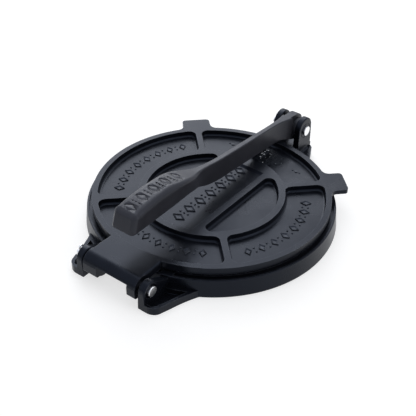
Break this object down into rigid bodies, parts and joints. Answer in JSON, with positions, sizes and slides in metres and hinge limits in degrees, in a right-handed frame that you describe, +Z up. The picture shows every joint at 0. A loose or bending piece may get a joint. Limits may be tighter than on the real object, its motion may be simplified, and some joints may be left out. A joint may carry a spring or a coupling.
{
  "type": "tortilla press",
  "caption": "Cast iron tortilla press: a round base, a ribbed top plate hinged between ears, and a long lever pivoted between posts that presses the plates together.",
  "frame": {"origin": "centre of the round base on the surface that it stands on", "axes": "+Z up, +X along the hinge pin and the lever pin, +Y from the hinge towards the lever's posts"},
  "size_m": [0.269, 0.3339, 0.0852],
  "materials": {
    "black_iron": "satin seasoned cast iron",
    "lever_iron": "satin seasoned cast iron, slightly warmer",
    "bright_steel": "bright zinc plate"
  },
  "bodies": {
    "base": {"base_plate": "black_iron", "hinge_pin": "bright_steel", "hinge_split_pin": "bright_steel", "lever_pin": "bright_steel", "lever_split_pin": "bright_steel"},
    "top_plate": {"top_plate": "black_iron"},
    "lever": {"lever": "lever_iron"}
  },
  "joints": [
    {"name": "lever_pivot", "type": "hinge", "parent": "base", "child": "lever", "pos_m": [0, 0.1566, 0.037], "axis": [-1, 0, 0], "range_deg": [0, 175]},
    {"name": "plate_hinge", "type": "hinge", "parent": "base", "child": "top_plate", "pos_m": [0, -0.1505, 0.0192], "axis": [1, 0, 0], "range_deg": [0, 105]}
  ],
  "couplings": [
    {"joint": "plate_hinge", "follows": "lever_pivot", "ratio": 0.125}
  ]
}
